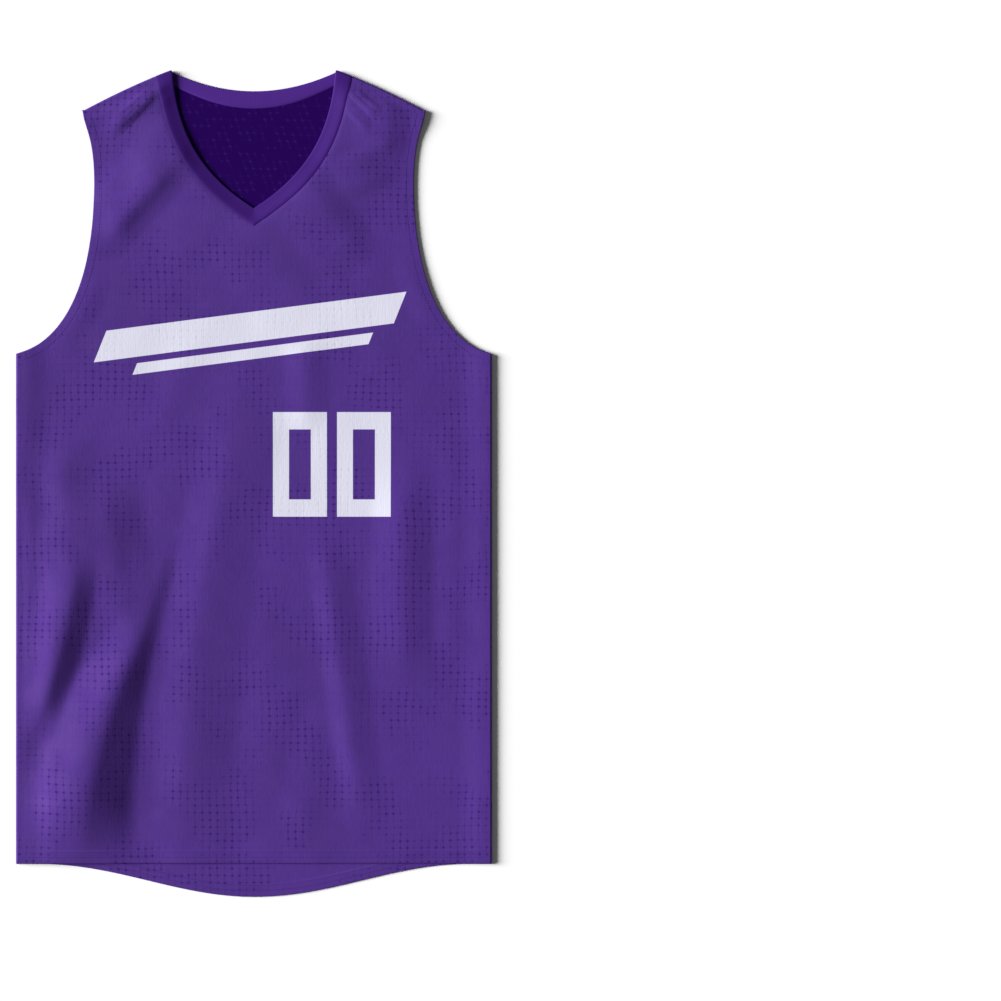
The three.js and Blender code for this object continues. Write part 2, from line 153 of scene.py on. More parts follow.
# The printed block numerals: centre, half width, half height, and the counter's half width and half height
NUMERAL_COLUMNS = ("x", "y", "w", "h", "hole_w", "hole_h")
FRONT_NUMERALS = ((46.0, 19.2, 27.0, 52.3, 10.9, 35.0), (110.0, 19.2, 26.9, 52.3, 11.0, 35.0))
BACK_NUMERALS = ((45.2, 110.4, 41.6, 83.6, 12.9, 52.3), (-52.6, 110.4, 42.0, 83.6, 13.1, 52.3))

# The knit: pinholes across and up, wales and courses, and how glossy the yarn is
HOLE_PITCH = (7.3, 7.0)
HOLE_DRIFT = 9.0
WALE_PITCH = 1.825
COURSE_PITCH = 1.4
CLOTH_GLOSS = 0.45
GLOSS_TINT = (1.0, 0.62, 0.98, 1.0)
RIB_GLOSS_TINT = (1.0, 0.82, 0.98, 1.0)

# Linear colours
PURPLE = (0.0540, 0.0177, 0.2030)
# The next two are painted shade: the inside of the back where it shows in the neck, and the paler specks at its
# pinholes
PAINTED_SHADE_PURPLE = (0.0140, 0.0001, 0.0730)
PAINTED_SHADE_SPECK = (0.0300, 0.0100, 0.1300)
BAND_PURPLE = (0.0500, 0.0080, 0.1880)
# Painted shade: the front bands' rib, a darker copy of the back band's colour
BAND_PAINTED_SHADE = (0.0300, 0.0010, 0.1360)
HOLE_PURPLE = (0.0200, 0.0002, 0.1100)
PRINT_WHITE = (0.6050, 0.6100, 0.7150)
THREAD_PURPLE = (0.0300, 0.0030, 0.1600)
FLOOR_WHITE = (0.88, 0.88, 0.88)


def smooth(t):
    """An even step from 0 to 1: three t squared less two t cubed, with t held between 0 and 1."""
    t = np.clip(t, 0.0, 1.0)
    return t * t * (3 - 2 * t)


def mix(a, b, t):
    """The value or point that lies the share t of the way from a to b."""
    return a + (b - a) * t


def cubic(points, t):
    """A cubic curve: the four points weighed by the usual cubic shares of t, for an array of t."""
    a, b, c, d = (np.asarray(p, float) for p in points)
    t = np.asarray(t, float)[..., None]
    return (1 - t) ** 3 * a + 3 * (1 - t) ** 2 * t * b + 3 * (1 - t) * t * t * c + t ** 3 * d


def even_steps(start, end, step):
    """Evenly spaced values from start to end, about one step apart."""
    return np.linspace(start, end, max(2, int(round(abs(end - start) / step)) + 1))


SHOULDER_ALONG = (SHOULDER_TIP - NECK_POINT) / np.hypot(*(SHOULDER_TIP - NECK_POINT))
SHOULDER_OUT = np.array([-SHOULDER_ALONG[1], SHOULDER_ALONG[0]])
FULL = np.pi / 2


def shoulder_point(k, inset=0.0):
    """A point of the right shoulder seam: the straight line from neck to tip at share k, with a bulge of four k
    times one less k, moved inwards by an inset."""
    k = np.asarray(k, float)
    out = SHOULDER_BULGE * 4 * k * (1 - k) - inset
    return mix(NECK_POINT, SHOULDER_TIP, k[..., None]) + SHOULDER_OUT * out[..., None]


def rolled_edge(s, angle, wall):
    """The section of a rolled edge at arc length s from its end: an arc that has turned down by angle at its end,
    then a straight. Gives the inset from the outline and the drop below the crown."""
    radius = (EDGE_HEIGHT - SEAM_GAP - wall) / 2
    arc = radius * angle
    reach = (wall / 2 + radius) * np.sin(angle)
    turned = np.maximum(angle - s / radius, 0.0)
    inset = np.where(s >= arc, reach + s - arc, reach - radius * np.sin(turned))
    return inset, radius * (1 - np.cos(turned))


SHOULDER_INSET = float(rolled_edge(EDGE_ZONE, FULL, CLOTH)[0])
NECK_TOP = shoulder_point(0.0, SHOULDER_INSET)
SEAM_TOP = shoulder_point(BAND_SHARE, SHOULDER_INSET)
ARMHOLE_UPPER = (shoulder_point(1.0, SHOULDER_INSET), (168.8, 354), (159.8, 346), ARMHOLE_WAIST)
ARMHOLE_LOWER = (ARMHOLE_WAIST, (159.8, 243), (171.5, 147), (CHEST_HALF, UNDERARM_Y))
CURVE_SHARES = np.linspace(0, 1, 400)
ARMHOLE = np.vstack([cubic(ARMHOLE_UPPER, CURVE_SHARES)[:-1], cubic(ARMHOLE_LOWER, CURVE_SHARES)])[::-1]
V_EDGE = (NECK_TOP, (76.1, 348.4), (51.6, 308.3), (0, V_POINT_Y))
BACK_SEAM = ((0, BACK_SEAM_Y), (45, BACK_SEAM_Y), (72, 396), SEAM_TOP)


def outer_edge(y):
    """Half width of the cut at height y: the straight side, then the armhole's curve read at that height."""
    return np.where(y <= UNDERARM_Y, CHEST_HALF, np.interp(y, ARMHOLE[:, 1], ARMHOLE[:, 0]))


def v_seam(t, clear=0.0):
    """The front band's seam: its free edge moved across by one band width, turning to the shoulder seam's
    direction at the top and to straight down at the mitre, and moved on by a clearance."""
    slope = cubic(V_EDGE, t + 1e-3) - cubic(V_EDGE, t - 1e-3)
    across = np.stack([-slope[..., 1], slope[..., 0]], -1)
    across *= BAND_WIDTH / np.linalg.norm(slope, axis=-1, keepdims=True)
    across = mix(SEAM_TOP - NECK_TOP, across, smooth(t / 0.15)[..., None])
    across = mix(across, np.array([0.0, -BAND_MITRE]), smooth((t - 0.7) / 0.3)[..., None])
    return cubic(V_EDGE, t) + across * (1 + clear / BAND_WIDTH)


def back_edge(t):
    """The back band's free edge: a parabola from the centre to the shoulder seam."""
    rise = min(NECK_TOP[1] - BACK_NECK_Y, BACK_NECK_RISE)
    return np.stack([NECK_TOP[0] * t, BACK_NECK_Y + rise * t * t], -1)


def tail_fall(x):
    """How far the back hem falls below the side seams: half a cosine wave across the tail."""
    inside = np.abs(x) < TAIL_HALF_WIDTH
    return np.where(inside, -TAIL_DROP * (1 + np.cos(np.pi * x / TAIL_HALF_WIDTH)) / 2, 0.0)


def side_angle(y):
    """How far the side's rolled edge has turned: fully below the underarm, falling evenly to nothing above."""
    return FULL * (1 - smooth((y - UNDERARM_Y) / EDGE_OPENING))


def crown_height(angle):
    """Height of the front over a rolled edge's crown: from lying flat to the edge's full height."""
    return FRONT_LIE + (EDGE_HEIGHT - CLOTH / 2 - FRONT_LIE) * (1 - np.cos(angle))


def distance_to(x, y, points):
    """The shortest distance from each point to a line of points, taken stretch by stretch."""
    best = np.full(np.shape(x), np.inf)
    for a, b in zip(points[:-1], points[1:]):
        d = b - a
        t = np.clip(((x - a[0]) * d[0] + (y - a[1]) * d[1]) / (d @ d), 0, 1)
        best = np.minimum(best, np.hypot(x - a[0] - d[0] * t, y - a[1] - d[1] * t))
    return best


def rounded_slope(u):
    """A fall from 1 to 0 as u goes from 0 to 1: a straight slope, rounded off over a share of u at both ends."""
    r = FOLD_ROUNDING
    start = np.clip(u, 0, r) ** 2 / (2 * r) + np.maximum(u - r, 0)
    end = np.clip(u - 1 + r, 0, r) ** 2 / (2 * r)
    return 1 - (start - end) / (1 - r)


def ridge(x, y, fold):
    """One fold: its height times a rounded slope from the crest to nothing over the half width of that side, which
    turns evenly from one side's to the other's round the ends, faded to the given shares towards its two ends.
    Height and widths grow evenly along the crest, from the share named taper."""
    f = dict(zip(FOLD_COLUMNS, fold))
    a, b, c = (np.array([f[f"x{i}"], f[f"y{i}"]], float) for i in range(3))
    t = np.linspace(0, 1, CREST_STEPS + 1)[:, None]
    crest = (1 - t) ** 2 * a + 2 * (1 - t) * t * b + t * t * c
    best = np.full(np.shape(x), np.inf)
    side = np.zeros_like(best)
    along = np.zeros_like(best)
    for i in range(CREST_STEPS):
        p, d = crest[i], crest[i + 1] - crest[i]
        share = np.clip(((x - p[0]) * d[0] + (y - p[1]) * d[1]) / (d @ d), 0, 1)
        away = np.hypot(x - p[0] - d[0] * share, y - p[1] - d[1] * share)
        near = away < best
        best = np.where(near, away, best)
        cross = (y - p[1]) * d[0] - (x - p[0]) * d[1]
        side = np.where(near, cross / (np.hypot(*d) * np.maximum(away, 1e-6)), side)
        along = np.where(near, (i + share) / CREST_STEPS, along)
    grown = mix(f["taper"], 1.0, along)
    width = mix(f["left"], f["right"], (1 + side) / 2) * grown
    flank = rounded_slope(np.minimum(best / width, 1.0))
    first = mix(f["first"], 1.0, smooth(along / FOLD_FADE))
    last = mix(1.0, f["last"], smooth((along - 1) / FOLD_FADE + 1))
    return f["height"] * grown * flank * first * last


def unevenness(x, y):
    """The slight waviness of lying cloth: crossing sine waves of unlike height, length, lean and start, each with
    a bend of its own."""
    waves = ((0.10, 97.0, 0.35, 0.3), (0.06, 67.0, -0.5, 1.9), (0.03, 47.0, 0.6, 4.2), (0.015, 31.0, -0.4, 0.8))
    total = np.full(np.shape(x), 0.3)
    for height, length, lean, start in waves:
        bend = 1.3 * np.sin(y / (1.1 * length) + start) + 0.7 * np.sin(x / (1.9 * length))
        total += height * np.sin(2 * np.pi * (x + lean * y) / length + start + bend)
    return total


def neck_rise(x, y):
    """Rise of the front round the neckline: up to a crest just outside the band's seam, then down again."""
    away = distance_to(np.abs(x), y, cubic(V_EDGE, np.linspace(0, 1, 41)))
    outer = 1 - smooth((away - NECK_CREST) / (NECK_REACH - NECK_CREST))
    return NECK_RISE * np.where(away < NECK_CREST, smooth(away / NECK_CREST), outer)


def below_shoulder(x, y):
    """Distance below the straight line of the shoulder seam."""
    return (NECK_POINT[0] - np.abs(x)) * SHOULDER_OUT[0] + (NECK_POINT[1] - y) * SHOULDER_OUT[1]


def off_the_rolls(x, y, side=SIDE_FREE, shoulder=SHOULDER_FREE):
    """Nought on the rolled edges, growing to one over a margin inside the side's and one inside the shoulder's."""
    by_side = smooth((CHEST_HALF - np.abs(x) - EDGE_ZONE) / side)
    return by_side * smooth((below_shoulder(x, y) - EDGE_ZONE) / shoulder)


def all_folds(x, y):
    """The sum of every fold and of the unevenness at a point, the large ones with a wider margin at the rolls."""
    large = sum(ridge(x, y, fold) for fold in LARGE_FOLDS)
    small = sum(ridge(x, y, fold) for fold in SMALL_FOLDS) + unevenness(x, y)
    return off_the_rolls(x, y) * large + off_the_rolls(x, y, SMALL_FREE, SMALL_FREE) * small


def front_height(x, y, lie=FRONT_LIE):
    """Height of the front's middle surface without the rolled edges' drop: its lying height, lifted along sides
    and shoulders, plus folds, neckline and unevenness away from those edges."""
    lift = crown_height(side_angle(y)) - FRONT_LIE
    by_side = (1 - smooth((CHEST_HALF - np.abs(x)) / EDGE_RELAX)) * lift
    by_shoulder = 1 - smooth((below_shoulder(x, y) - SHOULDER_INSET) / EDGE_RELAX)
    by_shoulder = by_shoulder * (crown_height(FULL) - FRONT_LIE)
    return lie + np.maximum(by_side, by_shoulder) + off_the_rolls(x, y) * neck_rise(x, y) + all_folds(x, y)


def back_height(x, y, lie=BACK_LIE):
    """Height of the back's middle surface: flat on the surface, lifted a little under the front's folds."""
    lift = np.minimum(BACK_SHARE * all_folds(x, y), BACK_MOST)
    return lie + off_the_rolls(x, y) * lift


def grid_dict(points, flat, edge, swell, turn):
    """What a shell needs of one grid. edge is the distance to the nearest edge over the width in which that edge
    rounds off, so it is one or more where the wall is whole."""
    return {"points": points, "flat": flat, "edge": edge, "swell": swell, "turn": turn}


def hem_levels(hem_y, knee_y):
    """Row heights from the hem to the neck: close at the edge, at the hem's inner line and above the underarm."""
    hem = hem_y + np.array([*EDGE_STEPS, 1.6, 4, 7, 10, 11.3, 12.1, 12.9, 13.7])
    body = even_steps(hem_y + 16, UNDERARM_Y, ALONG_STEP)
    corner = UNDERARM_Y + np.array([0.8, 1.6, 2.6, 3.8, 5.4, 7.4, 9.8, 12.6])
    return np.concatenate([hem, body, corner, even_steps(UNDERARM_Y + 16, knee_y, ALONG_STEP)])


def panel_grid(half, levels, tilt, seam, seam_rows, hem, fade_hem, height, roll_down):
    """One half of a panel. A row runs from its inner end, on the centre line or the neck seam, straight to its
    outer end on the side or armhole, then over the side's roll. The last rows go over the shoulder's roll. levels
    are the rows' heights up to the neck, tilt how much lower their outer ends lie, and hem the curve below them."""
    t = np.linspace(0, 1, seam_rows + 1)[1:]
    over = np.concatenate([np.zeros(len(levels) + len(t)), ROLL_STEPS])
    share = np.concatenate([0 * levels, t, np.ones(len(ROLL_STEPS))])
    inner = np.concatenate([np.stack([0 * levels, levels], -1), seam(t)])
    outer_y = np.concatenate([levels - tilt, mix(levels[-1] - tilt[-1], ARMHOLE[-1, 1], t)])
    last = [-1] * len(ROLL_STEPS)
    inner, outer_y = np.concatenate([inner, inner[last]]), np.concatenate([outer_y, outer_y[last]])

    fine = EDGE_STEPS[1:] / CHEST_HALF
    across = even_steps(0, 1, ACROSS_STEP / CHEST_HALF)
    across = np.concatenate([[0.0], fine, across[across > fine[-1] * 2]])
    beyond = np.concatenate([0 * across, ROLL_STEPS])
    across = np.concatenate([across, np.ones(len(ROLL_STEPS))])

    edge_x = outer_edge(outer_y)[:, None]
    angle = side_angle(outer_y)[:, None]
    inset, drop = rolled_edge(EDGE_ZONE - beyond[None], angle, CLOTH)
    drop = np.where(beyond > 0, drop, 0.0)
    start = inner[:, :1]
    x = np.where(beyond > 0, edge_x - inset, start + (edge_x - inset - start) * across)
    y = inner[:, 1:] + (outer_y[:, None] - inner[:, 1:]) * across
    k = mix(BAND_SHARE, 1.0, np.clip((x - start) / (edge_x - start), 0, 1))
    held = 4 * BAND_SHARE * (1 - k) / (1 - BAND_SHARE) * (1 - BAND_SHARE)
    bulge = SHOULDER_BULGE * (4 * k * (1 - k) - held) * smooth(share)[:, None]
    x, y = x + SHOULDER_OUT[0] * bulge, y + SHOULDER_OUT[1] * bulge
    y = y + hem(x) * fade_hem(inner[:, 1:])
    z = height(half * x, y)

    roll_inset, roll_drop = rolled_edge(EDGE_ZONE - over[:, None], FULL, CLOTH)
    step = np.where(over[:, None] > 0, SHOULDER_INSET - roll_inset, 0.0)
    drop = drop + np.where(over[:, None] > 0, roll_drop, 0.0)
    points = np.stack([half * (x + SHOULDER_OUT[0] * step), y + SHOULDER_OUT[1] * step, z - roll_down * drop], -1)

    run = np.cumsum(np.linalg.norm(np.diff(points, axis=1, prepend=points[:, :1]), axis=-1), 1)
    flat = np.stack([half * (start + run), y + over[:, None]], -1)
    from_neck = np.where(share[:, None] > 0, run, 9.0)
    from_neck[len(levels) - 1, 0] = 0.0
    from_hem = y - (levels[0] + hem(x))
    edge = np.minimum(from_neck / SEAM_GROOVE, from_hem / (CLOTH / 2))
    rolled = np.minimum(EDGE_ZONE - beyond[None], EDGE_ZONE - over[:, None])
    edge = np.minimum(edge, rolled / (CLOTH / 2))
    edge = np.where(edge < 1e-6, 0.0, edge)
    swell = HEM_SWELL * (1 - smooth((from_hem - HEM_DEPTH + 0.8) / 1.6)) * off_the_rolls(x, y)
    points[..., 2] += swell * (3 if roll_down > 0 else 1)
    return grid_dict(points, flat, edge, swell, half * 1.0)


def band_grid(half, free, seam, length_rows, height, roll_down, mitre, joined, turn):
    """One half of a neckband: rows from its centre end to the shoulder and over its roll, columns from the free
    edge to the seam. A mitred end stops short of the centre line, and a joined one runs on into the other half."""
    t = np.linspace(0, 1, length_rows + 1)
    if not joined:
        t = np.concatenate([[0.0], MITRE_STEPS, t[1:]])
    over = np.concatenate([0 * t, ROLL_STEPS])
    t = np.concatenate([t, np.ones(len(ROLL_STEPS))])
    close = np.array([0.0, 0.1, 0.4, 0.8]) / BAND_WIDTH
    across = np.concatenate([close, np.linspace(close[-1], 1 - close[-1], 10)[1:-1], 1 - close[::-1]])
    flat_points = mix(free(t)[:, None], seam(t)[:, None], across[None, :, None])
    x, y = flat_points[..., 0], flat_points[..., 1]
    z = height(half * x, y)
    roll_inset, roll_drop = rolled_edge(EDGE_ZONE - over[:, None], FULL, RIB)
    step = np.where(over[:, None] > 0, SHOULDER_INSET - roll_inset, 0.0)
    drop = np.where(over[:, None] > 0, roll_drop, 0.0)
    x = np.maximum(x, mitre)
    points = np.stack([half * (x + SHOULDER_OUT[0] * step), y + SHOULDER_OUT[1] * step, z - roll_down * drop], -1)
    down = np.linalg.norm(np.diff(points, axis=0, prepend=points[:1]), axis=-1)
    along = np.cumsum(down[:, len(across) // 2])[:, None] + np.zeros_like(x)
    width = np.cumsum(np.linalg.norm(np.diff(points, axis=1, prepend=points[:, :1]), axis=-1), 1)
    edge = np.minimum(width / (RIB / 2), (width[:, -1:] - width) / SEAM_GROOVE)
    edge = np.minimum(edge, (EDGE_ZONE - over[:, None]) / (RIB / 2))
    if not joined:
        edge = np.minimum(edge, along / SEAM_GROOVE)
    edge = np.where(edge < 1e-6, 0.0, edge)
    crown = RIB_CROWN * np.sin(np.pi * np.clip(width / width[:, -1:], 0, 1)) ** 0.6
    crown -= (RIB - CLOTH) / 2 * (1 - smooth((width[:, -1:] - width) / BAND_SLOPE))
    points[..., 2] += crown
    return grid_dict(points, np.stack([half * along, width], -1), edge, crown, turn)


def make_mesh(name, points, faces, materials, flat=None, slots=None):
    """A smooth-shaded object from arrays of points in millimetres and four-sided faces, with its flat coordinates
    in metres as the UV map named cut."""
    mesh = bpy.data.meshes.new(name)
    mesh.from_pydata((points * MM).tolist(), [], faces.tolist())
    for material in materials:
        mesh.materials.append(material)
    if slots is not None:
        mesh.polygons.foreach_set("material_index", slots.astype(np.int32))
    mesh.polygons.foreach_set("use_smooth", np.ones(len(mesh.polygons), bool))
    if flat is not None:
        corners = np.zeros(len(mesh.loops), np.int32)
        mesh.loops.foreach_get("vertex_index", corners)
        layer = mesh.uv_layers.new(name="cut")
        layer.data.foreach_set("uv", (flat[corners] * MM).astype(np.float32).ravel())
    mesh.update()
    obj = bpy.data.objects.new(name, mesh)
    bpy.context.scene.collection.objects.link(obj)
    return obj


def shell(name, grids, thickness, materials, painted_shade_above=None):
    """A closed cloth shell round one or more grids. Normals are the cross product of the grid's two slopes. Half
    the wall's thickness is that of a half round near a cut edge, plus any swelling. Points that two grids share
    become one, and the inner skin shares the outer one's points along the edges. Faces of the upper skin that lie
    further up than painted_shade_above take the third material."""
    points, normals, flat, half, border, quads = [], [], [], [], [], []
    count = 0
    for g in grids:
        p = g["points"]
        rows, columns = p.shape[:2]
        n = np.cross(np.gradient(p, axis=1), np.gradient(p, axis=0)) * g["turn"]
        n /= np.maximum(np.linalg.norm(n, axis=-1, keepdims=True), 1e-12)
        near = np.clip(g["edge"], 0, 1)
        wall = np.sqrt(1 - (1 - near) ** 2) * (thickness / 2 + g["swell"])
        index = count + np.arange(rows * columns).reshape(rows, columns)
        a, b, c, d = index[:-1, :-1], index[:-1, 1:], index[1:, 1:], index[1:, :-1]
        order = (a, b, c, d) if g["turn"] > 0 else (a, d, c, b)
        quads.append(np.stack([q.ravel() for q in order], -1))
        points.append(p.reshape(-1, 3))
        normals.append(n.reshape(-1, 3))
        flat.append(g["flat"].reshape(-1, 2))
        half.append(wall.ravel())
        border.append(g["edge"].ravel() <= 0)
        count += rows * columns
    points, normals, flat, half, border, quads = map(np.concatenate, (points, normals, flat, half, border, quads))
    _, first, same = np.unique(np.round(points * 1e3).astype(np.int64), axis=0, return_index=True, return_inverse=True)
    same = same.ravel()
    joined = np.zeros((len(first), 3))
    np.add.at(joined, same, normals)
    joined /= np.maximum(np.linalg.norm(joined, axis=-1, keepdims=True), 1e-12)
    points, flat, half, border, quads = points[first], flat[first], half[first], border[first], same[quads]
    offset = joined * np.where(border, 0.0, half)[:, None]
    inner_index = np.where(border, np.arange(len(points)), len(points) + np.cumsum(~border) - 1)
    everything = np.concatenate([points + offset, (points - offset)[~border]])
    faces = np.concatenate([quads, inner_index[quads][:, ::-1]])
    slots = np.repeat([0, 1], len(quads))
    # The third material has painted shade for the inside of the back in the neck
    if painted_shade_above is not None:
        slots[:len(quads)] = np.where(points[quads[:, 0], 1] > painted_shade_above, 2, 0)
    return make_mesh(name, everything, faces, materials, np.concatenate([flat, flat[~border]]), slots)


# Materials are built from small helpers on one node tree
class Nodes:
    """Adds nodes to a material's tree: numbers, sockets and colours may be given as inputs alike."""

    def __init__(self, name):
        self.material = bpy.data.materials.new(name)
        self.material.use_nodes = True
        self.tree = self.material.node_tree
        self.shader = self.tree.nodes["Principled BSDF"]

    def link(self, value, socket):
        if isinstance(value, bpy.types.NodeSocket):
            self.tree.links.new(value, socket)
        else:
            socket.default_value = value

    def math(self, operation, *values, clamp=False):
        node = self.tree.nodes.new("ShaderNodeMath")
        node.operation = operation
        node.use_clamp = clamp
        for value, socket in zip(values, node.inputs):
            self.link(value, socket)
        return node.outputs[0]

    def range(self, value, low, high, to_low=0.0, to_high=1.0):
        """A smooth step of value between low and high."""
        node = self.tree.nodes.new("ShaderNodeMapRange")
        node.interpolation_type = "SMOOTHSTEP"
        for socket, number in zip(node.inputs[:5], (value, low, high, to_low, to_high)):
            self.link(number, socket)
        return node.outputs[0]

    def colour(self, share, a, b, blend="MIX"):
        node = self.tree.nodes.new("ShaderNodeMix")
        node.data_type = "RGBA"
        node.blend_type = blend
        self.link(share, node.inputs["Factor"])
        for value, socket in ((a, node.inputs[6]), (b, node.inputs[7])):
            self.link(value if isinstance(value, bpy.types.NodeSocket) else (*value, 1.0), socket)
        return node.outputs[2]

    def cut(self):
        """The flat coordinates in millimetres, as two values."""
        node = self.tree.nodes.new("ShaderNodeUVMap")
        node.uv_map = "cut"
        split = self.tree.nodes.new("ShaderNodeSeparateXYZ")
        self.tree.links.new(node.outputs["UV"], split.inputs[0])
        self.flat = node.outputs["UV"]
        return tuple(self.math("MULTIPLY", split.outputs[i], 1000.0) for i in (0, 1))

    def noise(self, per_metre, detail=2.0, roughness=0.5, vector=None):
        node = self.tree.nodes.new("ShaderNodeTexNoise")
        self.link(vector or self.flat, node.inputs["Vector"])
        node.inputs["Scale"].default_value = per_metre
        node.inputs["Detail"].default_value = detail
        node.inputs["Roughness"].default_value = roughness
        return node.outputs[0]

    def place(self, u, v):
        """A texture place in metres from two values in millimetres."""
        node = self.tree.nodes.new("ShaderNodeCombineXYZ")
        self.link(self.math("MULTIPLY", u, MM), node.inputs[0])
        self.link(self.math("MULTIPLY", v, MM), node.inputs[1])
        return node.outputs[0]

    def bump(self, height, distance, strength=1.0, under=None):
        node = self.tree.nodes.new("ShaderNodeBump")
        node.inputs["Distance"].default_value = distance * MM
        node.inputs["Strength"].default_value = strength
        self.link(height, node.inputs["Height"])
        if under is not None:
            self.link(under, node.inputs["Normal"])
        return node.outputs[0]

    def finish(self, colour, roughness, normal=None, **plain):
        self.link(colour, self.shader.inputs["Base Color"])
        self.link(roughness, self.shader.inputs["Roughness"])
        if normal is not None:
            self.link(normal, self.shader.inputs["Normal"])
        for name, value in plain.items():
            self.shader.inputs[name.replace("_", " ")].default_value = value
        return self.material


def repeat(n, value, period):
    """Distance in millimetres to the middle of the nearest repeat of a period."""
    share = n.math("FRACT", n.math("ADD", n.math("DIVIDE", value, period), 0.5))
    return n.math("MULTIPLY", n.math("SUBTRACT", share, 0.5), period)


def box_mask(n, u, v, x, y, w, h, soft=0.25):
    """One inside a box of half sizes w and h about x, y, nought outside, over a soft edge."""
    across = n.math("SUBTRACT", n.math("ABSOLUTE", n.math("SUBTRACT", u, x)), w)
    along = n.math("SUBTRACT", n.math("ABSOLUTE", n.math("SUBTRACT", v, y)), h)
    return n.range(n.math("MAXIMUM", across, along), -soft, soft, 1.0, 0.0)


def numerals_mask(n, u, v, numerals):
    """Block noughts: each a box less its counter, the largest of them all."""
    total = 0.0
    for row in numerals:
        d = dict(zip(NUMERAL_COLUMNS, row))
        solid = box_mask(n, u, v, d["x"], d["y"], d["w"], d["h"])
        hole = box_mask(n, u, v, d["x"], d["y"], d["hole_w"], d["hole_h"])
        total = n.math("MAXIMUM", total, n.math("SUBTRACT", solid, hole, clamp=True))
    return total


def slanted_bars(n, u, v):
    """The chest print: two plain bars that rise to the right, with slanted ends."""
    lean, rise, x, y = 0.42, 0.13, -8.0, 146.0
    du, dv = n.math("SUBTRACT", u, x), n.math("SUBTRACT", v, y)
    up = n.math("SUBTRACT", dv, n.math("MULTIPLY", du, rise))
    along = n.math("SUBTRACT", du, n.math("MULTIPLY", up, lean))
    upper = box_mask(n, along, up, 0.0, 10.0, 150.0, 15.0)
    lower = box_mask(n, along, up, 14.0, -17.0, 118.0, 5.5)
    return n.math("MAXIMUM", upper, lower)


def arched_bars(n, u, v):
    """The print across the shoulders at the back: two plain bars on one wide arch."""
    radius, y = 383.0, -107.0
    dv = n.math("SUBTRACT", v, y)
    out = n.math("SQRT", n.math("ADD", n.math("POWER", u, 2.0), n.math("POWER", dv, 2.0)))
    along = n.math("MULTIPLY", n.math("ARCTAN2", u, dv), radius)
    upper = box_mask(n, along, out, 0.0, radius + 7.0, 118.0, 13.0)
    lower = box_mask(n, along, out, 0.0, radius - 16.0, 104.0, 5.0)
    return n.math("MAXIMUM", upper, lower)


def pinholes(n, u, v):
    """How much of a pinhole lies at a place, from nought to one: small dots on an even grid, joined up and down by
    thin lines and across by short dashes."""
    drift = n.math("MULTIPLY", n.math("SUBTRACT", n.noise(11.0, 1.0), 0.5), HOLE_DRIFT)
    hole_u = repeat(n, n.math("ADD", u, drift), HOLE_PITCH[0])
    hole_v = repeat(n, n.math("SUBTRACT", v, drift), HOLE_PITCH[1])
    away = n.math("SQRT", n.math("ADD", n.math("POWER", hole_u, 2.0), n.math("POWER", hole_v, 2.0)))
    dots = n.range(away, 0.7, 1.75, 1.0, 0.0)
    lines = n.math("MULTIPLY", n.range(n.math("ABSOLUTE", hole_u), 0.3, 1.2, 1.0, 0.0), 0.32)
    dashes = n.range(n.math("ABSOLUTE", hole_v), 0.3, 1.1, 1.0, 0.0)
    dashes = n.math("MULTIPLY", dashes, n.range(n.math("ABSOLUTE", hole_u), 1.4, 3.4, 0.42, 0.06))
    return n.math("MAXIMUM", dots, n.math("MAXIMUM", lines, dashes))


def crease(n, u, v, x0, y0, x1, y1, width, height):
    """One sharp crease as relief: highest on the line from x0, y0 to x1, y1, falling as a half wave over a width
    to both sides, and over a third of its length at both ends."""
    length = float(np.hypot(x1 - x0, y1 - y0))
    dx, dy = (x1 - x0) / length, (y1 - y0) / length
    du, dv = n.math("SUBTRACT", u, x0), n.math("SUBTRACT", v, y0)
    along = n.math("ADD", n.math("MULTIPLY", du, dx), n.math("MULTIPLY", dv, dy))
    across = n.math("ABSOLUTE", n.math("SUBTRACT", n.math("MULTIPLY", du, dy), n.math("MULTIPLY", dv, dx)))
    ends = n.math("MULTIPLY", n.range(along, 0.0, length / 3), n.range(along, length * 2 / 3, length, 1.0, 0.0))
    wave = n.math("COSINE", n.range(across, 0.0, width, 0.0, np.pi))
    return n.math("MULTIPLY", n.math("MULTIPLY", n.math("ADD", wave, 1.0), height / 2), ends)


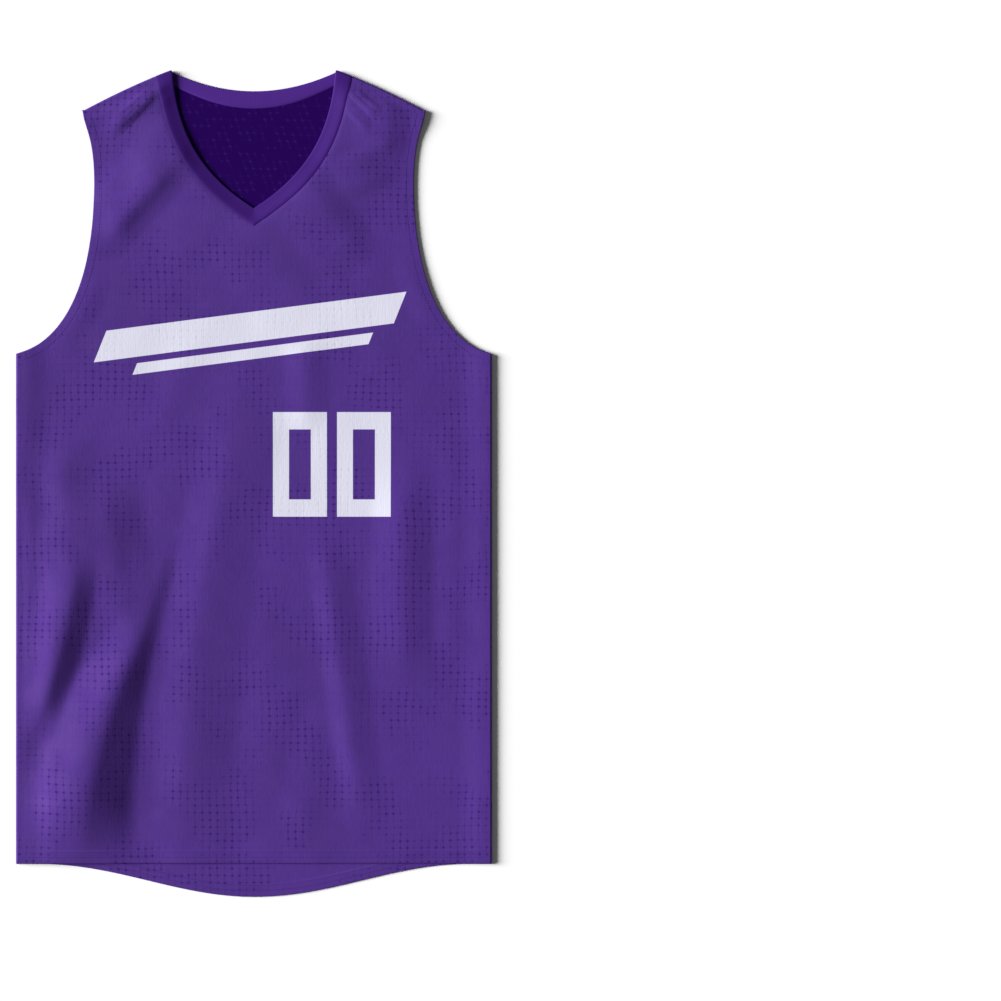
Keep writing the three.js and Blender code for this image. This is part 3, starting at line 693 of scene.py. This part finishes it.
def mesh_cloth(name, print_mask=None, creases=()):
    """Purple mesh cloth: pinholes that show more in some patches than in others, fine wales between them, slow
    changes of tone, and a flat white print through which the holes still show."""
    n = Nodes(name)
    u, v = n.cut()
    holes = pinholes(n, u, v)
    patches = n.range(n.noise(17.0, 2.0, 0.5), 0.44, 0.60, 0.06, 0.85)
    patches = n.math("MULTIPLY", patches, n.range(n.noise(120.0, 1.0), 0.38, 0.55, 0.35, 1.0))
    wale = n.math("COSINE", n.math("MULTIPLY", u, 2 * np.pi / WALE_PITCH))
    course = n.math("COSINE", n.math("MULTIPLY", v, 2 * np.pi / COURSE_PITCH))
    knit = n.math("ADD", n.math("MULTIPLY", wale, 0.5), n.math("MULTIPLY", course, 0.25))
    tone = n.range(n.noise(9.0, 3.0, 0.55), 0.3, 0.7)
    base = n.colour(tone, tuple(c * 0.94 for c in PURPLE), tuple(c * 1.06 for c in PURPLE))
    base = n.colour(n.math("MULTIPLY", n.noise(900.0, 1.0), 0.16), base, tuple(c * 0.6 for c in PURPLE))
    streaks = n.noise(420.0, 2.0, 0.6, n.place(u, n.math("MULTIPLY", v, 0.22)))
    base = n.colour(n.range(streaks, 0.35, 0.65, 0.0, 0.14), base, tuple(c * 0.45 for c in PURPLE))
    depth = n.math("MULTIPLY", holes, patches)
    base = n.colour(depth, base, HOLE_PURPLE)
    roughness = n.math("ADD", n.range(n.noise(40.0, 2.0), 0.3, 0.7, 0.76, 0.86), n.math("MULTIPLY", depth, 0.25))
    grain = n.math("ADD", n.math("MULTIPLY", streaks, -1.1), n.math("MULTIPLY", n.noise(300.0, 2.0), 0.9))
    relief = n.math("SUBTRACT", n.math("ADD", n.math("MULTIPLY", knit, 0.12), grain), depth)
    for row in creases:
        relief = n.math("ADD", relief, crease(n, u, v, *row))
    if print_mask is not None:
        ink = print_mask(n, u, v)
        white = n.colour(n.math("MULTIPLY", depth, 0.14), PRINT_WHITE, tuple(c * 0.4 for c in PRINT_WHITE))
        base = n.colour(ink, base, white)
        relief = n.math("ADD", relief, n.math("MULTIPLY", ink, 0.25))
    return n.finish(base, roughness, n.bump(relief, 0.16, 0.5), Specular_IOR_Level=CLOTH_GLOSS,
                    Specular_Tint=GLOSS_TINT)


def painted_shade_cloth(name):
    """The cloth's inner face where it shows in the neck, painted in shade: darker and duller, with paler specks at the
    pinholes.
    """
    n = Nodes(name)
    u, v = n.cut()
    slanted = n.math("ADD", u, n.math("MULTIPLY", v, 0.35))
    specks = n.math("MULTIPLY", pinholes(n, slanted, v), n.range(n.noise(90.0, 2.0), 0.42, 0.6, 0.0, 0.5))
    base = n.colour(specks, PAINTED_SHADE_PURPLE, PAINTED_SHADE_SPECK)
    return n.finish(base, 0.85, n.bump(specks, 0.2, 0.4), Specular_IOR_Level=0.03)


def rib_cloth(name, tint):
    """Rib for the neckband: fine ribs across its length, each with a painted highlight on its top, and a slow change
    of tone.
    """
    n = Nodes(name)
    u, v = n.cut()
    rib = n.math("COSINE", n.math("MULTIPLY", u, 2 * np.pi / 1.3))
    # Painted highlight on each rib's top, plus a slow random change of tone
    lit = n.math("ADD", n.math("MULTIPLY", rib, 0.05), n.math("MULTIPLY", n.noise(30.0), 0.4))
    base = n.colour(n.math("ADD", lit, 0.3, clamp=True), tuple(c * 0.9 for c in tint), tuple(c * 1.12 for c in tint))
    return n.finish(base, 0.7, n.bump(rib, 0.03, 0.5), Specular_IOR_Level=0.25, Specular_Tint=RIB_GLOSS_TINT)


def thread(name):
    """Polyester sewing thread with a fine twist along each stitch."""
    n = Nodes(name)
    place = n.tree.nodes.new("ShaderNodeTexCoord").outputs["Object"]
    twist = n.noise(3000.0, 1.0, 0.5, place)
    base = n.colour(twist, tuple(c * 0.8 for c in THREAD_PURPLE), tuple(c * 1.25 for c in THREAD_PURPLE))
    return n.finish(base, 0.75, None, Specular_IOR_Level=0.4, Specular_Tint=GLOSS_TINT)


def front_print(n, u, v):
    """Everything printed on the front."""
    return n.math("MAXIMUM", numerals_mask(n, u, v, FRONT_NUMERALS), slanted_bars(n, u, v))


def back_print(n, u, v):
    """Everything printed on the back."""
    return n.math("MAXIMUM", numerals_mask(n, u, v, BACK_NUMERALS), arched_bars(n, u, v))


cloth_front = mesh_cloth("mesh cloth, front", front_print, CREASES)
cloth_back = mesh_cloth("mesh cloth, back", back_print)
cloth_inside = mesh_cloth("mesh cloth, inside")
# Painted shade on the inside of the back where it shows in the neck
cloth_painted_shade = painted_shade_cloth("mesh cloth, in the neck")
rib_back = rib_cloth("rib, back", BAND_PURPLE)
# Painted shade: the front bands take a darker copy of the back band's rib
rib_painted_shade = rib_cloth("rib, front", BAND_PAINTED_SHADE)
sewing_thread = thread("sewing thread")


# Panels
def front_panel():
    """The front: a level hem, rows straight up to the V, then along the band's seam."""
    knee = float(v_seam(np.array(1.0))[1])
    levels = hem_levels(FRONT_HEM_Y, knee)
    grids = [
        panel_grid(half, levels, 0 * levels, lambda t: v_seam(1 - t), 44, lambda x: 0 * x, lambda y: 0.0,
                   front_height, 1)
        for half in (1, -1)
    ]
    return shell("cloth_front", grids, CLOTH, [cloth_front, cloth_inside])


def back_panel():
    """The back: a dropped tail, rows tilting down toward the armholes, then along the back band's seam."""
    knee = BACK_SEAM_Y
    levels = hem_levels(TAIL_BASE_Y, knee)
    tilt = 24 * smooth((levels - 200) / (knee - 200))

    def fade(y):
        return 1 - smooth((y - TAIL_BASE_Y) / 190)

    grids = [
        panel_grid(half, levels, tilt, lambda t: cubic(BACK_SEAM, t), 30, tail_fall, fade, back_height, -1)
        for half in (1, -1)
    ]
    # The inside near the neck takes the cloth with painted shade
    return shell("cloth_back", grids, CLOTH, [cloth_inside, cloth_back, cloth_painted_shade], PAINTED_SHADE_ABOVE)


def front_band(half, name):
    """One side of the V's band, from the mitre at the centre to the shoulder."""
    grid = band_grid(half, lambda t: cubic(V_EDGE, 1 - t), lambda t: v_seam(1 - t), 90,
                     lambda x, y: front_height(x, y, BAND_LIE), 1, 0.0, False, -half)
    # Both faces of the front band take the rib with painted shade
    return shell(name, [grid], RIB, [rib_painted_shade, rib_painted_shade])


def back_band():
    """The band round the back of the neck, in one piece from shoulder to shoulder."""
    grids = [
        band_grid(half, back_edge, lambda t: cubic(BACK_SEAM, t), 50, lambda x, y: back_height(x, y, RIB / 2),
                  -1, 0.0, True, half)
        for half in (1, -1)
    ]
    return shell("rib_back", grids, RIB, [rib_back, rib_back])


front = front_panel()
back = back_panel()
band_left = front_band(-1, "rib_front_left")
band_right = front_band(1, "rib_front_right")
band_back = back_band()


# Sewing
def offset_line(points, distance):
    """A line of points moved to its left by a distance."""
    slope = np.gradient(points, axis=0)
    slope /= np.linalg.norm(slope, axis=1, keepdims=True)
    return points + distance * np.stack([-slope[:, 1], slope[:, 0]], -1)


def along_line(points, pitch):
    """Places at an even pitch along a line of points, with its direction at each."""
    run = np.concatenate([[0.0], np.cumsum(np.linalg.norm(np.diff(points, axis=0), axis=1))])
    at = np.arange(pitch, run[-1] - pitch, pitch)
    place = np.stack([np.interp(at, run, points[:, i]) for i in (0, 1)], -1)
    ahead = np.stack([np.interp(at + 0.5, run, points[:, i]) for i in (0, 1)], -1)
    slope = ahead - place
    return place, slope / np.linalg.norm(slope, axis=1, keepdims=True)


def stitches(name, cloth, rows, side):
    """Short capsule stitches along rows, each laid on the cloth's face that looks up or down (side +1 or -1)."""
    tree = BVHTree.FromObject(cloth, bpy.context.evaluated_depsgraph_get())
    places, slopes = (np.concatenate(part) for part in zip(*(along_line(row, STITCH["pitch"]) for row in rows)))
    centres, ups, keep = [], [], []
    for i, (x, y) in enumerate(places * MM):
        hit, normal, _, _ = tree.ray_cast(Vector((x, y, 0.1 * side)), Vector((0, 0, -side)))
        if hit is not None:
            centres.append(hit)
            ups.append(normal)
            keep.append(i)
    centre = np.array(centres) / MM
    up = np.array(ups)
    along = np.concatenate([slopes[keep], np.zeros((len(keep), 1))], 1)
    along -= up * np.sum(along * up, 1, keepdims=True)
    along /= np.linalg.norm(along, axis=1, keepdims=True)
    across = np.cross(up, along)
    share = np.array([-0.5, -0.42, -0.25, 0.0, 0.25, 0.42, 0.5])
    girth = np.array([0.0, 0.62, 0.95, 1.0, 0.95, 0.62, 0.0])
    angle = np.arange(6) * np.pi / 3
    ring_across = np.cos(angle) * STITCH["width"] / 2
    ring_up = np.sin(angle) * STITCH["height"] / 2
    body = (
        centre[:, None, None]
        + along[:, None, None] * (share * STITCH["length"])[None, :, None, None]
        + across[:, None, None] * (girth[:, None] * ring_across)[None, :, :, None]
        + up[:, None, None] * (girth[:, None] * (ring_up + 0.06))[None, :, :, None]
    )
    points = np.concatenate([body[:, :1, 0], body[:, 1:-1].reshape(len(centre), -1, 3), body[:, -1:, 0]], 1)
    ring = np.arange(6)
    following = (ring + 1) % 6
    first = 1 + 6 * np.arange(4)[:, None]
    quads = np.stack([first + ring, first + following, first + 6 + following, first + 6 + ring], -1).reshape(-1, 4)
    low = np.stack([0 * ring, 1 + following, 1 + ring], -1)
    high = np.stack([0 * ring + 31, 25 + ring, 25 + following], -1)
    shift = 32 * np.arange(len(centre))[:, None, None]
    faces = (quads + shift).reshape(-1, 4).tolist()
    faces += (np.concatenate([low, high]) + shift).reshape(-1, 3).tolist()
    mesh = bpy.data.meshes.new(name)
    mesh.from_pydata((points.reshape(-1, 3) * MM).tolist(), [], faces)
    mesh.materials.append(sewing_thread)
    mesh.polygons.foreach_set("use_smooth", np.ones(len(mesh.polygons), bool))
    mesh.update()
    obj = bpy.data.objects.new(name, mesh)
    bpy.context.scene.collection.objects.link(obj)
    return obj


def both_sides(line):
    """A line of the right half and its mirror image on the left."""
    return [line, line * np.array([-1.0, 1.0])]


across = np.linspace(-CHEST_HALF + 5, CHEST_HALF - 5, 300)
front_hem_rows = [np.stack([across, FRONT_HEM_Y + d + 0 * across], -1) for d in HEM_ROWS]
tail_hem_rows = [np.stack([across, TAIL_BASE_Y + tail_fall(across) + d], -1) for d in HEM_ROWS]
armhole_rows = [row for d in ARMHOLE_ROWS for row in both_sides(offset_line(ARMHOLE[8:-4:6], d))]
neck_rows = both_sides(offset_line(v_seam(np.linspace(0.02, 0.985, 160), 0.5), -1.6))
back_neck_rows = both_sides(offset_line(cubic(BACK_SEAM, np.linspace(0.005, 0.97, 90)), -1.6))

front_stitches = stitches("stitches_front", front, front_hem_rows + armhole_rows + neck_rows, 1)
back_stitches = stitches("stitches_back", back, tail_hem_rows + armhole_rows + back_neck_rows, -1)
tail_stitches = stitches("stitches_tail_inside", back, tail_hem_rows, 1)

# What each piece is, rides on and stands for
FRONT_CUT = (0.476, 0.787, 0.3150)
BACK_CUT = (0.476, 0.820, 0.3350)
FRONT_BAND_CUT = (0.172, 0.018, 0.00300)
BACK_BAND_CUT = (0.205, 0.016, 0.00300)

pieces = (
    (front, "front_panel", "mesh_cloth", FRONT_CUT, ["cloth_back"], [front_stitches]),
    (back, "back_panel", "mesh_cloth_back", BACK_CUT, ["floor"], [back_stitches, tail_stitches]),
    (band_left, "neckband_front_left", "neck_rib", FRONT_BAND_CUT, ["cloth_back"], []),
    (band_right, "neckband_front_right", "neck_rib", FRONT_BAND_CUT, ["cloth_back"], []),
    (band_back, "neckband_back", "neck_rib", BACK_BAND_CUT, ["floor"], []),
)

# Floor, lights and camera
floor_mesh = bpy.data.meshes.new("floor")
corners = [(-20, -20, 0), (20, -20, 0), (20, 20, 0), (-20, 20, 0)]
floor_mesh.from_pydata(corners, [], [(0, 1, 2, 3)])
floor = bpy.data.objects.new("floor", floor_mesh)
bpy.context.scene.collection.objects.link(floor)
paper = Nodes("pale floor")
paper_place = paper.tree.nodes.new("ShaderNodeTexCoord").outputs["Object"]
paper_tone = paper.noise(3.0, 2.0, 0.5, paper_place)
floor_mesh.materials.append(paper.finish(
    paper.colour(paper_tone, FLOOR_WHITE, tuple(c * 0.995 for c in FLOOR_WHITE)), 0.9, None, Specular_IOR_Level=0.0))

SUN_ANGLE = np.radians(28)
SUN_ELEVATION = np.radians(23)
SUN_AZIMUTH = np.radians(172)
SUN_RADIANCE = 1.04
FILL_RADIANCE = 0.11

sun_data = bpy.data.lights.new("main light", "SUN")
sun_data.angle = SUN_ANGLE
sun_data.energy = SUN_RADIANCE * np.pi / np.sin(SUN_ELEVATION)
sun = bpy.data.objects.new("main light", sun_data)
bpy.context.scene.collection.objects.link(sun)
sun_from = Vector((
    np.cos(SUN_ELEVATION) * np.cos(SUN_AZIMUTH), np.cos(SUN_ELEVATION) * np.sin(SUN_AZIMUTH), np.sin(SUN_ELEVATION)))
sun.rotation_euler = sun_from.to_track_quat("Z", "Y").to_euler()

world = bpy.data.worlds.new("fill light")
bpy.context.scene.world = world
world.use_nodes = True
world.node_tree.nodes["Background"].inputs["Color"].default_value = (1, 1, 1, 1)
world.node_tree.nodes["Background"].inputs["Strength"].default_value = FILL_RADIANCE

# The photograph looks straight down on the jersey, which fills the left half of its frame
PHOTO_WIDTH = 1.001
CAMERA_AT = (0.2465, -0.0169)
camera_data = bpy.data.cameras.new("camera")
camera_data.sensor_width = 36
camera_data.lens = 100
camera = bpy.data.objects.new("camera", camera_data)
camera.location = (*CAMERA_AT, PHOTO_WIDTH * camera_data.lens / camera_data.sensor_width + 2.4 * MM)
bpy.context.scene.collection.objects.link(camera)
bpy.context.scene.camera = camera
bpy.context.scene.view_settings.view_transform = "Standard"

for piece, node, slot, (width, length, area), rests_on, sewn in pieces:
    for part in (piece, *sewn):
        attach(part, BODY)
    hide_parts(node)
